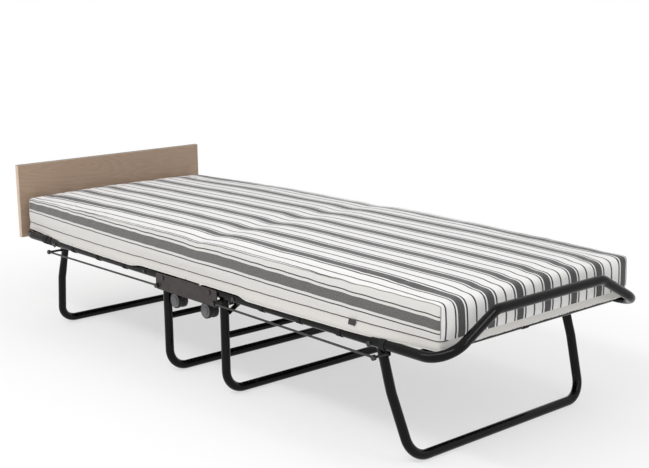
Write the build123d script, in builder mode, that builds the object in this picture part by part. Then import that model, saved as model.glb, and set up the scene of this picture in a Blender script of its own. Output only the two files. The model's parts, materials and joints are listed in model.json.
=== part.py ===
from build123d import *
import math
import os

# Folding guest bed, opened flat on the floor. Lengths are in millimetres, angles in degrees.
# +X points to the foot end, +Z up, and the photographed long side is -Y.
# The origin is on the floor under the middle of the fold.

# Steel tubes
tube_d = 25.0
tube_wall = 1.2
bar_d = 22.0
bar_wall = 1.2
brace_d = 19.0
brace_wall = 1.2

# Bed plane and its two loops
rail_z = 296.0
rail_spread = 735.0
frame_reach = 992.0
loop_corner_r = 70.0
foot_raise = 92.0
foot_raise_half = 200.0
foot_raise_bend_r = 45.0

# Fold pivots of the loops on the centre unit
fold_x = 113.0
bolt_d = 8.0
bolt_head_d = 14.0
bolt_head_h = 3.0
nut_h = 5.0

# Running gaps and fits
fit = 0.05
gap = 0.3
weld_gap = 0.05

# Centre unit
plate_t = 3.0
plate_margin = 9.0
plate_top_margin = 11.0
plate_bottom_margin = 11.0
plate_corner_r = 8.0
plate_flange_w = 12.0
plate_top_flange_half = 50.0
plate_bottom_flange_half = 104.0
spacer_t = 1.0
castor_bar_x = 75.0

# Centre legs
leg_x = 138.5
leg_z = 270.0
leg_spread = 704.0
leg_corner_r = 58.0
brace_z = 172.0
leg_spacer_d = 16.0

# Struts between the rails and the centre legs
strut_drop = 34.2
strut_w = 13.0
strut_t = 3.0
strut_gap = 0.5
strut_pin_d = 7.0
strut_head_d = 12.0
strut_head_h = 2.5

# End legs
end_leg_inset = 247.0
end_leg_below = 5.0
end_leg_set = 2.5
end_leg_splay = 17.5
end_leg_spread = 683.0
end_leg_foot_spread = 644.0
end_leg_corner_r = 58.0
end_leg_bend_r = 90.0
press_w = 29.0
press_t = 20.4
press_end = 62.0
press_taper = 34.0
press_to_bend = 30.0

# Link rods that keep the end legs upright
rod_d = 6.0
rod_eye_d = 14.0
rod_eye_t = 4.0
rod_tab = 12.0
rod_pin_d = 7.0
lug_d = 14.0
lug_t = 4.0
rod_pin_end = 1.5
rod_pin_head_h = 2.5

# Crossbars and mesh
outer_bar_inset = 97.0
inner_bar_x = 246.0
mesh_t = 1.4
hem_t = 3.0
hem_w = 24.0
mesh_spread = 600.0
mesh_from_outer_bar = 70.0
mesh_from_inner_bar = 46.0
strap_w = 18.0
strap_t = 1.6
strap_count = 4
strap_edge = 40.0
end_strap_y = 210.0
tie_strap_inset = 177.0
tie_strap_w = 25.0
tie_strap_t = 1.6

# Headboard
board_t = 16.0
board_w = 740.0
board_h = 248.0
board_z = 277.0
edging_t = 1.5
bracket_t = 3.0
bracket_w = 34.0
bracket_h = 94.0
bracket_spread = 560.0
bracket_foot = 4.0
board_bolt_d = 6.0
board_bolt_head_d = 12.0
board_bolt_rise = 73.0
board_nut_d = 11.0
board_nut_h = 5.0
board_bolt_tip = 2.0

# Mattress
mattress_overhang = 2.0
mattress_lift = 2.0
mattress_head_inset = 14.0
mattress_foot_inset = 37.0
mattress_fold_gap = 14.0
mattress_crown = 5.0
mattress_belly = 3.0
mattress_draw = 4.0
mattress_taper = 25.0
mattress_edge_r = 13.0
mattress_corner_r = 26.0
mattress_end_r = 28.0
mattress_over = 20.0

# Castors
castor_y = 343.0
castor_trail = 18.0
castor_axle_z = 228.0
castor_wheel_d = 46.0
castor_rim_d = 39.0
castor_cap_d = 24.0
castor_cap_h = 1.2
castor_w = 32.0
castor_web_t = 9.0
castor_wheel_gap = 0.3
castor_axle_d = 6.0
castor_web_d = 22.0
castor_neck_d = 18.0
castor_neck_z = 251.0
castor_stem_d = 11.0
castor_stem_top_z = 280.0
socket_d = 17.0
socket_z = 262.0
socket_bore_z = 282.0

# Worked out from the sizes above
tube_r = tube_d / 2
bar_r = bar_d / 2
brace_r = brace_d / 2
rail_y = rail_spread / 2
leg_y = leg_spread / 2
end_leg_y = end_leg_spread / 2
end_leg_x = frame_reach - end_leg_inset
end_leg_z = rail_z - end_leg_below
loop_x = frame_reach - gap - tube_r
outer_bar_x = frame_reach - outer_bar_inset
tie_strap_x = frame_reach - tie_strap_inset
bar_z = rail_z + tube_r - bar_r
bed_z = rail_z + tube_r
crossbar_z = bar_z - strap_t - weld_gap
rail_outer_y = rail_y + tube_r
mattress_w = 2 * (rail_outer_y + mattress_overhang)
plate_inner_y = rail_outer_y + gap + spacer_t + gap
plate_outer_y = plate_inner_y + plate_t
rod_y = plate_outer_y + gap + rod_d / 2
rod_eye_inner_y = rod_y - rod_eye_t / 2
rod_eye_outer_y = rod_y + rod_eye_t / 2
crank_x = leg_x - fold_x
crank_z = leg_z - rail_z
rod_pin_x = end_leg_x + crank_x
rod_pin_z = end_leg_z + crank_z
strut_outer_y = leg_y - tube_r - strut_gap
strut_inner_y = strut_outer_y - strut_t
castor_axle_out = castor_web_t / 2 + castor_wheel_gap

HALVES = {"head": -1, "foot": 1}
HANDS = {"near": -1, "far": 1}


def strut_pin_place():
    """Place on the rail from which the strut is as long with the half open as with it folded."""
    open_x = leg_x
    open_z = leg_z - strut_drop
    folded_x = fold_x + leg_z + strut_drop - rail_z
    folded_z = rail_z - crank_x
    folded_square = folded_x**2 + (rail_z - folded_z) ** 2
    open_square = open_x**2 + (rail_z - open_z) ** 2
    return (folded_square - open_square) / (2 * (folded_x - open_x))


strut_pin_x = strut_pin_place()


def save(built, name):
    """Label one finished piece and write it."""
    built.part.label = name
    export_step(built.part, f"parts/{name}.step")


def cross_holes(places, hole_d):
    """Plugs along Y that clear a hole right through both sides at each (x, z) place."""
    with BuildPart() as plugs:
        with BuildSketch(Plane.XZ):
            with Locations(*places):
                Circle(hole_d / 2)
        extrude(amount=rail_spread, both=True)
    return plugs.part


def turned_group(places, steps):
    """Turned pins along Y, one at each (x, z, hand), of steps (diameter, inner y, outer y)."""
    with BuildPart() as group:
        for x, z, hand in places:
            for diameter, inner_y, outer_y in steps:
                with BuildSketch(Plane.XZ.offset(-hand * inner_y)):
                    with Locations((x, z)):
                        Circle(diameter / 2)
                extrude(amount=-hand * (outer_y - inner_y))
    return group


def ring_group(places, outer_d, inner_d, inner_y, outer_y):
    """Rings along Y, one at each (x, z, hand)."""
    with BuildPart() as group:
        for x, z, hand in places:
            with BuildSketch(Plane.XZ.offset(-hand * inner_y)):
                with Locations((x, z)):
                    Circle(outer_d / 2)
                    Circle(inner_d / 2, mode=Mode.SUBTRACT)
            extrude(amount=-hand * (outer_y - inner_y))
    return group


def four_places(x, z):
    """The same place on both halves and both hands."""
    return [(side * x, z, hand) for side in HALVES.values() for hand in HANDS.values()]


def two_places(x, z):
    """The same place on both hands."""
    return [(x, z, hand) for hand in HANDS.values()]


# Centre unit


def channel_plate(hand):
    """Pressed side plate that carries the rails, the centre legs and the castor bars."""
    with BuildPart() as plate:
        half = leg_x + plate_margin
        low = leg_z - plate_bottom_margin
        high = rail_z + plate_top_margin
        with BuildSketch(Plane.XZ.offset(-hand * plate_inner_y)):
            with Locations((0, (low + high) / 2)):
                RectangleRounded(2 * half, high - low, plate_corner_r)
        extrude(amount=-hand * plate_t)
        flange_y = -hand * (plate_inner_y - plate_flange_w)
        with BuildSketch(Plane.XZ.offset(flange_y)):
            with Locations((0, high - plate_t / 2)):
                Rectangle(2 * plate_top_flange_half, plate_t)
            with Locations((0, low + plate_t / 2)):
                Rectangle(2 * plate_bottom_flange_half, plate_t)
        extrude(amount=-hand * plate_flange_w)
        bolts = [(side * fold_x, rail_z) for side in HALVES.values()]
        bolts += [(side * leg_x, leg_z) for side in HALVES.values()]
        add(cross_holes(bolts, bolt_d + 2 * fit), mode=Mode.SUBTRACT)
    return plate


def castor_bars():
    """The two tubes that join the side plates, carry the castors and hold the mattress up."""
    with BuildPart() as bars:
        with BuildSketch(Plane.XZ):
            with Locations(*[(side * castor_bar_x, bar_z) for side in HALVES.values()]):
                Circle(bar_r)
                Circle(bar_r - bar_wall, mode=Mode.SUBTRACT)
        extrude(amount=plate_inner_y, both=True)
    return bars


def castor_sockets():
    """Sleeves welded under the castor bars, each with a blind bore for a castor stem."""
    with BuildPart() as sockets:
        places = [(x * castor_bar_x, y * castor_y) for x in HALVES.values() for y in HANDS.values()]
        with BuildSketch(Plane.XY.offset(socket_z)):
            with Locations(*places):
                Circle(socket_d / 2)
        extrude(amount=bar_z - socket_z)
        with BuildSketch(Plane.XY.offset(socket_z)):
            with Locations(*places):
                Circle(castor_stem_d / 2)
        extrude(amount=socket_bore_z - socket_z, mode=Mode.SUBTRACT)
        bars = [(side * castor_bar_x, bar_z) for side in HALVES.values()]
        add(cross_holes(bars, bar_d + 2 * weld_gap), mode=Mode.SUBTRACT)
    return sockets


def build_centre_unit():
    """Plates, castor bars and pivot bolts."""
    for name, hand in HANDS.items():
        save(channel_plate(hand), f"channel_plate_{name}")
    save(castor_bars(), "castor_bars")
    save(castor_sockets(), "castor_sockets")
    nut_y = rail_y - tube_r - 2 * gap
    fold_steps = [
        (bolt_head_d, nut_y - nut_h, nut_y),
        (bolt_d, nut_y, plate_outer_y + weld_gap),
        (bolt_head_d, plate_outer_y + weld_gap, plate_outer_y + bolt_head_h),
    ]
    save(turned_group(four_places(fold_x, rail_z), fold_steps), "fold_bolts")
    leg_nut_y = leg_y - tube_r - strut_gap - strut_t - 2 * gap
    leg_steps = [
        (bolt_head_d, leg_nut_y - nut_h, leg_nut_y),
        (bolt_d, leg_nut_y, rod_eye_outer_y + gap),
        (bolt_head_d, plate_outer_y + weld_gap, rod_eye_inner_y - gap),
        (bolt_head_d, rod_eye_outer_y + gap, rod_eye_outer_y + gap + bolt_head_h),
    ]
    save(turned_group(four_places(leg_x, leg_z), leg_steps), "centre_leg_bolts")
    spacers = ring_group(
        four_places(leg_x, leg_z),
        leg_spacer_d,
        bolt_d + 2 * fit,
        leg_y + tube_r + gap,
        plate_inner_y - weld_gap,
    )
    with BuildPart() as pivot_spacers:
        add(spacers.part)
        washers_inner_y = rail_outer_y + gap
        for x, z, hand in four_places(fold_x, rail_z):
            with BuildSketch(Plane.XZ.offset(-hand * washers_inner_y)):
                with Locations((x, z)):
                    Circle(bolt_head_d / 2)
                    Circle(bolt_d / 2 + fit, mode=Mode.SUBTRACT)
            extrude(amount=-hand * spacer_t)
    save(pivot_spacers, "pivot_spacers")


# Castors


def castor_housing(side, hand):
    """Swivel body: stem, neck and the web that carries the axle between the wheels."""
    stem_x = side * castor_bar_x
    axle_x = stem_x - castor_trail
    with BuildPart() as housing:
        with BuildSketch(Plane.XY.offset(castor_neck_z)):
            with Locations((stem_x, hand * castor_y)):
                Circle(castor_neck_d / 2)
        extrude(amount=socket_z - gap - castor_neck_z)
        with BuildSketch(Plane.XY.offset(castor_neck_z)):
            with Locations((stem_x, hand * castor_y)):
                Circle(castor_stem_d / 2 - fit)
        extrude(amount=castor_stem_top_z - castor_neck_z)
        with BuildSketch(Plane.XZ.offset(-hand * castor_y)):
            with Locations((axle_x, castor_axle_z)):
                Circle(castor_web_d / 2)
            with Locations((stem_x, castor_neck_z)):
                Rectangle(castor_neck_d, castor_web_t)
            make_hull()
        extrude(amount=castor_web_t / 2, both=True)
        with BuildSketch(Plane.XZ.offset(-hand * castor_y)):
            with Locations((axle_x, castor_axle_z)):
                Circle(castor_axle_d / 2 + fit)
        extrude(amount=castor_w, both=True, mode=Mode.SUBTRACT)
    return housing


def castor_wheels(side, hand):
    """Twin discs on one axle, with a low hub cap on each outer face."""
    axle_x = side * castor_bar_x - castor_trail
    out = castor_w / 2
    steps = [
        (castor_axle_d, 0, out),
        (castor_rim_d, castor_axle_out, out),
        (castor_cap_d, out, out + castor_cap_h),
    ]
    with BuildPart() as wheels:
        for face in HANDS.values():
            for diameter, start, end in steps:
                with BuildSketch(Plane.XZ.offset(-hand * castor_y - face * start)):
                    with Locations((axle_x, castor_axle_z)):
                        Circle(diameter / 2)
                extrude(amount=-face * (end - start))
    return wheels


def castor_tyres(side, hand):
    """Two tyres on the discs, with softened outer edges."""
    axle_x = side * castor_bar_x - castor_trail
    out = castor_w / 2
    tread = (castor_wheel_d - castor_rim_d) / 2
    with BuildPart() as tyres:
        for face in HANDS.values():
            with BuildSketch(Plane.XZ.offset(-hand * castor_y - face * castor_axle_out)):
                with Locations((axle_x, castor_axle_z)):
                    Circle(castor_wheel_d / 2)
                    Circle(castor_rim_d / 2, mode=Mode.SUBTRACT)
            extrude(amount=-face * (out - castor_axle_out))
        outer_edges = tyres.edges().filter_by(GeomType.CIRCLE)
        outer_edges = [e for e in outer_edges if e.radius > castor_rim_d / 2 + tread / 2]
        fillet(outer_edges, radius=tread / 2)
    return tyres


def build_castors():
    """Four castors."""
    for half, side in HALVES.items():
        for name, hand in HANDS.items():
            save(castor_housing(side, hand), f"castor_housing_{half}_{name}")
            save(castor_wheels(side, hand), f"castor_wheels_{half}_{name}")
            save(castor_tyres(side, hand), f"castor_tyres_{half}_{name}")


# Half frames


def loop_route(side):
    """Corner points of a half's loop, from the near pivot round to the far one, and its radii."""
    start = side * (fold_x - tube_r)
    end = side * loop_x
    near = [(start, -rail_y, rail_z), (end, -rail_y, rail_z)]
    far = [(end, rail_y, rail_z), (start, rail_y, rail_z)]
    if side < 0:
        return near + far, [loop_corner_r, loop_corner_r]
    top = rail_z + foot_raise
    raised = [(end, -foot_raise_half, top), (end, foot_raise_half, top)]
    return near + raised + far, [
        loop_corner_r,
        foot_raise_bend_r,
        foot_raise_bend_r,
        loop_corner_r,
    ]


def frame_loop(side):
    """Bent tube of one half: two rails and the bow across its end, with rounded pivot ends."""
    points, radii = loop_route(side)
    with BuildPart() as loop:
        with BuildLine() as route:
            FilletPolyline(*points, radius=radii)
        with BuildSketch(Plane(points[0], z_dir=(side, 0, 0))):
            Circle(tube_r)
            Circle(tube_r - tube_wall, mode=Mode.SUBTRACT)
        sweep(path=route.line)
        with BuildSketch(Plane.XZ):
            with Locations((side * (fold_x - tube_d / 2), rail_z)):
                Rectangle(tube_d, 2 * tube_d)
            with Locations((side * fold_x, rail_z)):
                Circle(tube_r, mode=Mode.SUBTRACT)
        extrude(amount=rail_spread, both=True, mode=Mode.SUBTRACT)
        add(cross_holes([(side * fold_x, rail_z)], bolt_d + 2 * fit), mode=Mode.SUBTRACT)
        add(cross_holes([(side * end_leg_x, end_leg_z)], bolt_d + 2 * fit), mode=Mode.SUBTRACT)
        add(cross_holes([(side * strut_pin_x, rail_z)], strut_pin_d + 2 * fit), mode=Mode.SUBTRACT)
    return loop


def crossbar(x):
    """Straight tube coped to the rails, low enough for a tab to pass over it under the mattress."""
    with BuildPart() as bar:
        with BuildSketch(Plane.XZ):
            with Locations((x, crossbar_z)):
                Circle(bar_r)
                Circle(bar_r - bar_wall, mode=Mode.SUBTRACT)
        extrude(amount=rail_y, both=True)
        with BuildSketch(Plane.YZ.offset(x)):
            with Locations((-rail_y, rail_z), (rail_y, rail_z)):
                Circle(tube_r + weld_gap)
        extrude(amount=bar_d, both=True, mode=Mode.SUBTRACT)
    return bar


def mesh_span():
    """Start and length of the mesh along a half, measured from the fold."""
    start = inner_bar_x + mesh_from_inner_bar
    return start, outer_bar_x - mesh_from_outer_bar - start


def mesh_hem(side):
    """Bound edge of the mesh: a flat band all round."""
    start, length = mesh_span()
    with BuildPart() as hem:
        with BuildSketch(Plane.XY.offset(bed_z - hem_t)):
            with Locations((side * (start + length / 2), 0)):
                Rectangle(length, mesh_spread)
                Rectangle(length - 2 * hem_w, mesh_spread - 2 * hem_w, mode=Mode.SUBTRACT)
        extrude(amount=hem_t)
    return hem


def mesh_panel(side):
    """Woven base panel inside its hem."""
    start, length = mesh_span()
    with BuildPart() as panel:
        with BuildSketch(Plane.XY.offset(bed_z - hem_t / 2 - mesh_t / 2)):
            with Locations((side * (start + length / 2), 0)):
                Rectangle(length - 2 * hem_w, mesh_spread - 2 * hem_w)
        extrude(amount=mesh_t)
    return panel


def side_strap(x, hand):
    """Webbing tab from the hem's edge, looped round a rail."""
    strap_z = bed_z - hem_t / 2
    reach = rail_y - mesh_spread / 2
    with BuildPart() as strap:
        with BuildSketch(Plane.YZ.offset(x)):
            with Locations((hand * (mesh_spread / 2 + reach / 2), strap_z)):
                Rectangle(reach, strap_t)
            with Locations((hand * rail_y, rail_z)):
                Circle(tube_r + weld_gap + strap_t)
                Circle(tube_r + weld_gap, mode=Mode.SUBTRACT)
        extrude(amount=strap_w / 2, both=True)
    return strap


def end_strap(bar_x, edge_x, y):
    """Webbing tab from the hem's end, looped round a crossbar."""
    strap_z = bed_z - hem_t / 2
    with BuildPart() as strap:
        with BuildSketch(Plane.XZ.offset(-y)):
            with Locations(((bar_x + edge_x) / 2, strap_z)):
                Rectangle(abs(bar_x - edge_x), strap_t)
            with Locations((bar_x, crossbar_z)):
                Circle(bar_r + weld_gap + strap_t)
                Circle(bar_r + weld_gap, mode=Mode.SUBTRACT)
        extrude(amount=strap_w / 2, both=True)
    return strap


def mesh_straps(side):
    """All the tabs that stretch one mesh panel in its frame."""
    start, length = mesh_span()
    pitch = (length - 2 * strap_edge) / (strap_count - 1)
    tabs = []
    for step in range(strap_count):
        x = side * (start + strap_edge + step * pitch)
        tabs += [side_strap(x, hand).part for hand in HANDS.values()]
    tabs.append(end_strap(side * outer_bar_x, side * (start + length), 0).part)
    inner_ends = [end_strap(side * inner_bar_x, side * start, hand * end_strap_y) for hand in HANDS.values()]
    tabs += [tab.part for tab in inner_ends]
    with BuildPart() as straps:
        add(tabs)
    return straps


def pivot_bushes(side):
    """Sleeves inside the rail ends, and washers between the rails and the end legs."""
    inside = math.sqrt((tube_r - tube_wall) ** 2 - (bolt_head_d / 2) ** 2) - weld_gap
    sleeves = ring_group(
        two_places(side * fold_x, rail_z),
        bolt_head_d,
        bolt_d + 2 * fit,
        rail_y - inside,
        rail_y + inside,
    )
    washers = ring_group(
        two_places(side * end_leg_x, end_leg_z),
        bolt_head_d,
        bolt_d + 2 * fit,
        end_leg_y + press_t / 2 + gap,
        rail_y - tube_r - weld_gap,
    )
    with BuildPart() as bushes:
        add(sleeves.part)
        add(washers.part)
    return bushes


def end_leg_bolts(side):
    """Bolts through the rails that the end legs turn on."""
    nut_y = end_leg_y - press_t / 2 - gap
    steps = [
        (bolt_head_d, nut_y - nut_h, nut_y),
        (bolt_d, nut_y, rail_outer_y + weld_gap),
        (bolt_head_d, rail_outer_y + weld_gap, rail_outer_y + bolt_head_h),
    ]
    return turned_group(two_places(side * end_leg_x, end_leg_z), steps)


def strut_pins(side):
    """Rivets through the rails that the struts turn on."""
    steps = [
        (strut_head_d, strut_inner_y - gap - strut_head_h, strut_inner_y - gap),
        (strut_pin_d, strut_inner_y - gap, rail_outer_y + weld_gap),
        (strut_head_d, rail_outer_y + weld_gap, rail_outer_y + strut_head_h),
    ]
    return turned_group(two_places(side * strut_pin_x, rail_z), steps)


def build_half_frames():
    """Both loops with what is fixed to them."""
    for half, side in HALVES.items():
        save(frame_loop(side), f"{half}_frame_loop")
        save(crossbar(side * outer_bar_x), f"{half}_outer_crossbar")
        save(crossbar(side * inner_bar_x), f"{half}_inner_crossbar")
        save(mesh_hem(side), f"{half}_mesh_hem")
        save(mesh_panel(side), f"{half}_mesh_panel")
        save(mesh_straps(side), f"{half}_mesh_straps")
        save(pivot_bushes(side), f"{half}_pivot_bushes")
        save(end_leg_bolts(side), f"{half}_end_leg_bolts")
        save(strut_pins(side), f"{half}_strut_pins")


# Headboard on the head loop


def board_bolt_places():
    """Bolt places (y, z) on the board."""
    return [(hand * bracket_spread / 2, rail_z + board_bolt_rise) for hand in HANDS.values()]


def headboard():
    """Laminated board core with two countersunk bolt holes."""
    with BuildPart() as board:
        with BuildSketch(Plane.YZ.offset(-frame_reach)):
            with Locations((0, board_z + board_h / 2)):
                Rectangle(board_w - 2 * edging_t, board_h - 2 * edging_t)
        extrude(amount=-board_t)
        with BuildSketch(Plane.YZ.offset(-frame_reach)):
            with Locations(*board_bolt_places()):
                Circle(board_bolt_d / 2)
        extrude(amount=-board_t, mode=Mode.SUBTRACT)
        head_h = (board_bolt_head_d - board_bolt_d) / 2
        with BuildSketch(Plane.YZ.offset(-frame_reach - board_t)):
            with Locations(*board_bolt_places()):
                Circle(board_bolt_head_d / 2)
        extrude(amount=head_h, taper=math.degrees(math.atan(1)), mode=Mode.SUBTRACT)
    return board


def headboard_edging():
    """Edge band all round the board."""
    with BuildPart() as edging:
        with BuildSketch(Plane.YZ.offset(-frame_reach)):
            with Locations((0, board_z + board_h / 2)):
                Rectangle(board_w, board_h)
                Rectangle(board_w - 2 * edging_t, board_h - 2 * edging_t, mode=Mode.SUBTRACT)
        extrude(amount=-board_t)
    return edging


def headboard_bolts():
    """Countersunk bolts, flush with the outer face."""
    head_h = (board_bolt_head_d - board_bolt_d) / 2
    length = board_t + bracket_t + board_nut_h + board_bolt_tip
    with BuildPart() as bolts:
        with BuildSketch(Plane.YZ.offset(-frame_reach - board_t)):
            with Locations(*board_bolt_places()):
                Circle(board_bolt_head_d / 2)
        extrude(amount=head_h, taper=math.degrees(math.atan(1)))
        with BuildSketch(Plane.YZ.offset(-frame_reach - board_t)):
            with Locations(*board_bolt_places()):
                Circle(board_bolt_d / 2)
        extrude(amount=length)
    return bolts


def headboard_brackets():
    """Upright straps welded to the bow, with a nut on the inner face of each."""
    low = rail_z + bracket_foot
    with BuildPart() as brackets:
        with BuildSketch(Plane.YZ.offset(-frame_reach)):
            for hand in HANDS.values():
                with Locations((hand * bracket_spread / 2, low + bracket_h / 2)):
                    RectangleRounded(bracket_w, bracket_h, bracket_t)
        extrude(amount=bracket_t)
        with BuildSketch(Plane.YZ.offset(-frame_reach + bracket_t)):
            with Locations(*board_bolt_places()):
                RegularPolygon(board_nut_d / 2, 6)
        extrude(amount=board_nut_h)
        with BuildSketch(Plane.YZ.offset(-frame_reach)):
            with Locations(*board_bolt_places()):
                Circle(board_bolt_d / 2)
        extrude(amount=bracket_t + board_nut_h, mode=Mode.SUBTRACT)
        add(cross_holes([(-loop_x, rail_z)], tube_d + 2 * weld_gap), mode=Mode.SUBTRACT)
    return brackets


def tie_straps():
    """Webbing straps rolled round the head rails, which hold the folded halves together."""
    with BuildPart() as straps:
        with BuildSketch(Plane.YZ.offset(-tie_strap_x)):
            with Locations((-rail_y, rail_z), (rail_y, rail_z)):
                Circle(tube_r + weld_gap + tie_strap_t)
                Circle(tube_r + weld_gap, mode=Mode.SUBTRACT)
        extrude(amount=tie_strap_w / 2, both=True)
    return straps


def build_headboard():
    """Board, edging, brackets, bolts and the tie straps."""
    save(headboard(), "headboard")
    save(headboard_edging(), "headboard_edging")
    save(headboard_brackets(), "headboard_brackets")
    save(headboard_bolts(), "headboard_bolts")
    save(tie_straps(), "head_tie_straps")


# End legs and their rods


def end_leg_plane(side):
    """Plane of an end leg: its x runs along +Y, its y up the splayed leg, beside the pivot."""
    lean = math.radians(end_leg_splay)
    return Plane(
        origin=(side * (end_leg_x - end_leg_set), 0, end_leg_z),
        x_dir=(0, 1, 0),
        z_dir=(math.cos(lean), 0, side * math.sin(lean)),
    )


def post_plane(side, hand, down):
    """Plane square to an end leg's post, a distance down from the pivot."""
    plane = end_leg_plane(side)
    centre = plane.from_local_coords(Vector(hand * end_leg_y, -down, 0))
    return Plane(origin=centre, x_dir=plane.z_dir, z_dir=plane.y_dir)


def pressed_top(side, hand, inset):
    """Top of a post: pressed to an oval for its bolt, then easing back to round."""
    with BuildPart() as top:
        with BuildSketch(post_plane(side, hand, press_end)):
            Ellipse(press_w / 2 - inset, press_t / 2 - inset)
        extrude(amount=press_end + press_w / 2)
        with BuildSketch(post_plane(side, hand, press_end)):
            Ellipse(press_w / 2 - inset, press_t / 2 - inset)
        with BuildSketch(post_plane(side, hand, press_end + press_taper)):
            Circle(tube_r - inset)
        loft()
    return top.part


def end_leg(side):
    """U of tube, splayed outwards, narrower at the floor than at its pivots."""
    plane = end_leg_plane(side)
    round_from = press_end + press_taper
    bend_at = round_from + press_to_bend
    length = (end_leg_z - tube_r) / math.cos(math.radians(end_leg_splay))
    foot_y = end_leg_foot_spread / 2
    points = [
        (-end_leg_y, -round_from),
        (-end_leg_y, -bend_at),
        (-foot_y, -length),
        (foot_y, -length),
        (end_leg_y, -bend_at),
        (end_leg_y, -round_from),
    ]
    radii = [end_leg_bend_r, end_leg_corner_r, end_leg_corner_r, end_leg_bend_r]
    tops = [pressed_top(side, hand, 0) for hand in HANDS.values()]
    bores = [pressed_top(side, hand, tube_wall) for hand in HANDS.values()]
    with BuildPart() as leg:
        with BuildLine(plane) as route:
            FilletPolyline(*points, radius=radii)
        with BuildSketch(Plane(route.line @ 0, z_dir=route.line % 0)):
            Circle(tube_r)
            Circle(tube_r - tube_wall, mode=Mode.SUBTRACT)
        sweep(path=route.line)
        add(tops)
        add(bores, mode=Mode.SUBTRACT)
        with BuildSketch(Plane(origin=plane.origin, x_dir=plane.z_dir, z_dir=(0, -1, 0))):
            Rectangle(2 * press_w, press_w, align=(Align.CENTER, Align.MIN))
            Circle(press_w / 2, mode=Mode.SUBTRACT)
        extrude(amount=rail_spread, both=True, mode=Mode.SUBTRACT)
        add(cross_holes([(side * end_leg_x, end_leg_z)], bolt_d + 2 * fit), mode=Mode.SUBTRACT)
    return leg


def rod_lugs(side):
    """Ears welded to the posts of an end leg, which the rod pins pass through."""
    post_x = side * (end_leg_x - end_leg_set - crank_z * math.tan(math.radians(end_leg_splay)))
    with BuildPart() as lugs:
        for hand in HANDS.values():
            with BuildSketch(Plane.XZ.offset(-hand * end_leg_y)):
                with Locations((side * rod_pin_x, rod_pin_z)):
                    Circle(lug_d / 2)
                with Locations(((side * rod_pin_x + post_x) / 2, rod_pin_z)):
                    Rectangle(abs(side * rod_pin_x - post_x), lug_d)
            extrude(amount=lug_t / 2, both=True)
            with BuildSketch(post_plane(side, hand, press_end)):
                Ellipse(press_w / 2 + weld_gap, press_t / 2 + weld_gap)
            extrude(amount=press_end, mode=Mode.SUBTRACT)
        add(cross_holes([(side * rod_pin_x, rod_pin_z)], rod_pin_d), mode=Mode.SUBTRACT)
    return lugs


def rod_pins(side):
    """Pins from the ears out past the rails to the rods' eyes."""
    head_y = rod_eye_outer_y + gap
    steps = [
        (rod_pin_d, end_leg_y - lug_t / 2 - rod_pin_end, head_y),
        (lug_d, head_y, head_y + rod_pin_head_h),
    ]
    return turned_group(two_places(side * rod_pin_x, rod_pin_z), steps)


def link_rods(side):
    """Two thin rods with flattened eyes, from the centre leg bolts to the end leg pins."""
    length = math.hypot(rod_pin_x - leg_x, rod_pin_z - leg_z)
    along = ((rod_pin_x - leg_x) / length, (rod_pin_z - leg_z) / length)
    tilt = side * math.degrees(math.atan2(along[1], along[0]))
    ends = [(side * leg_x, leg_z, 1), (side * rod_pin_x, rod_pin_z, -1)]
    with BuildPart() as rods:
        for hand in HANDS.values():
            with BuildSketch(Plane.XZ.offset(-hand * rod_y)):
                for x, z, inward in ends:
                    with Locations((x, z)):
                        Circle(rod_eye_d / 2)
                    tab_x = x + side * inward * along[0] * rod_tab / 2
                    tab_z = z + inward * along[1] * rod_tab / 2
                    with Locations(Location((tab_x, tab_z), tilt)):
                        Rectangle(rod_tab, rod_d)
            extrude(amount=rod_eye_t / 2, both=True)
            start = (side * (leg_x + along[0] * rod_tab), hand * rod_y, leg_z + along[1] * rod_tab)
            with BuildSketch(Plane(start, z_dir=(side * along[0], 0, along[1]))):
                Circle(rod_d / 2)
            extrude(amount=length - 2 * rod_tab)
        holes = [(side * leg_x, leg_z)]
        with BuildSketch(Plane.XZ):
            with Locations(*holes):
                Circle(bolt_d / 2 + fit)
            with Locations((side * rod_pin_x, rod_pin_z)):
                Circle(rod_pin_d / 2 + fit)
        extrude(amount=rod_y + rod_d, both=True, mode=Mode.SUBTRACT)
    return rods


def build_end_legs():
    """Both end legs with their ears, pins and rods."""
    for half, side in HALVES.items():
        save(end_leg(side), f"{half}_end_leg")
        save(rod_lugs(side), f"{half}_rod_lugs")
        save(rod_pins(side), f"{half}_rod_pins")
        save(link_rods(side), f"{half}_link_rods")


# Centre legs


def centre_leg(side):
    """Upright U of tube that turns on the centre unit."""
    plane = Plane(origin=(side * leg_x, 0, leg_z), x_dir=(0, 1, 0), z_dir=(1, 0, 0))
    bottom = tube_r - leg_z
    points = [(-leg_y, tube_r), (-leg_y, bottom), (leg_y, bottom), (leg_y, tube_r)]
    with BuildPart() as leg:
        with BuildLine(plane) as route:
            FilletPolyline(*points, radius=leg_corner_r)
        with BuildSketch(Plane(route.line @ 0, z_dir=route.line % 0)):
            Circle(tube_r)
            Circle(tube_r - tube_wall, mode=Mode.SUBTRACT)
        sweep(path=route.line)
        with BuildSketch(Plane.XZ):
            with Locations((side * leg_x, leg_z + tube_d / 2)):
                Rectangle(2 * tube_d, tube_d)
            with Locations((side * leg_x, leg_z)):
                Circle(tube_r, mode=Mode.SUBTRACT)
        extrude(amount=rail_spread, both=True, mode=Mode.SUBTRACT)
        add(cross_holes([(side * leg_x, leg_z)], bolt_d + 2 * fit), mode=Mode.SUBTRACT)
    return leg


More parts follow.
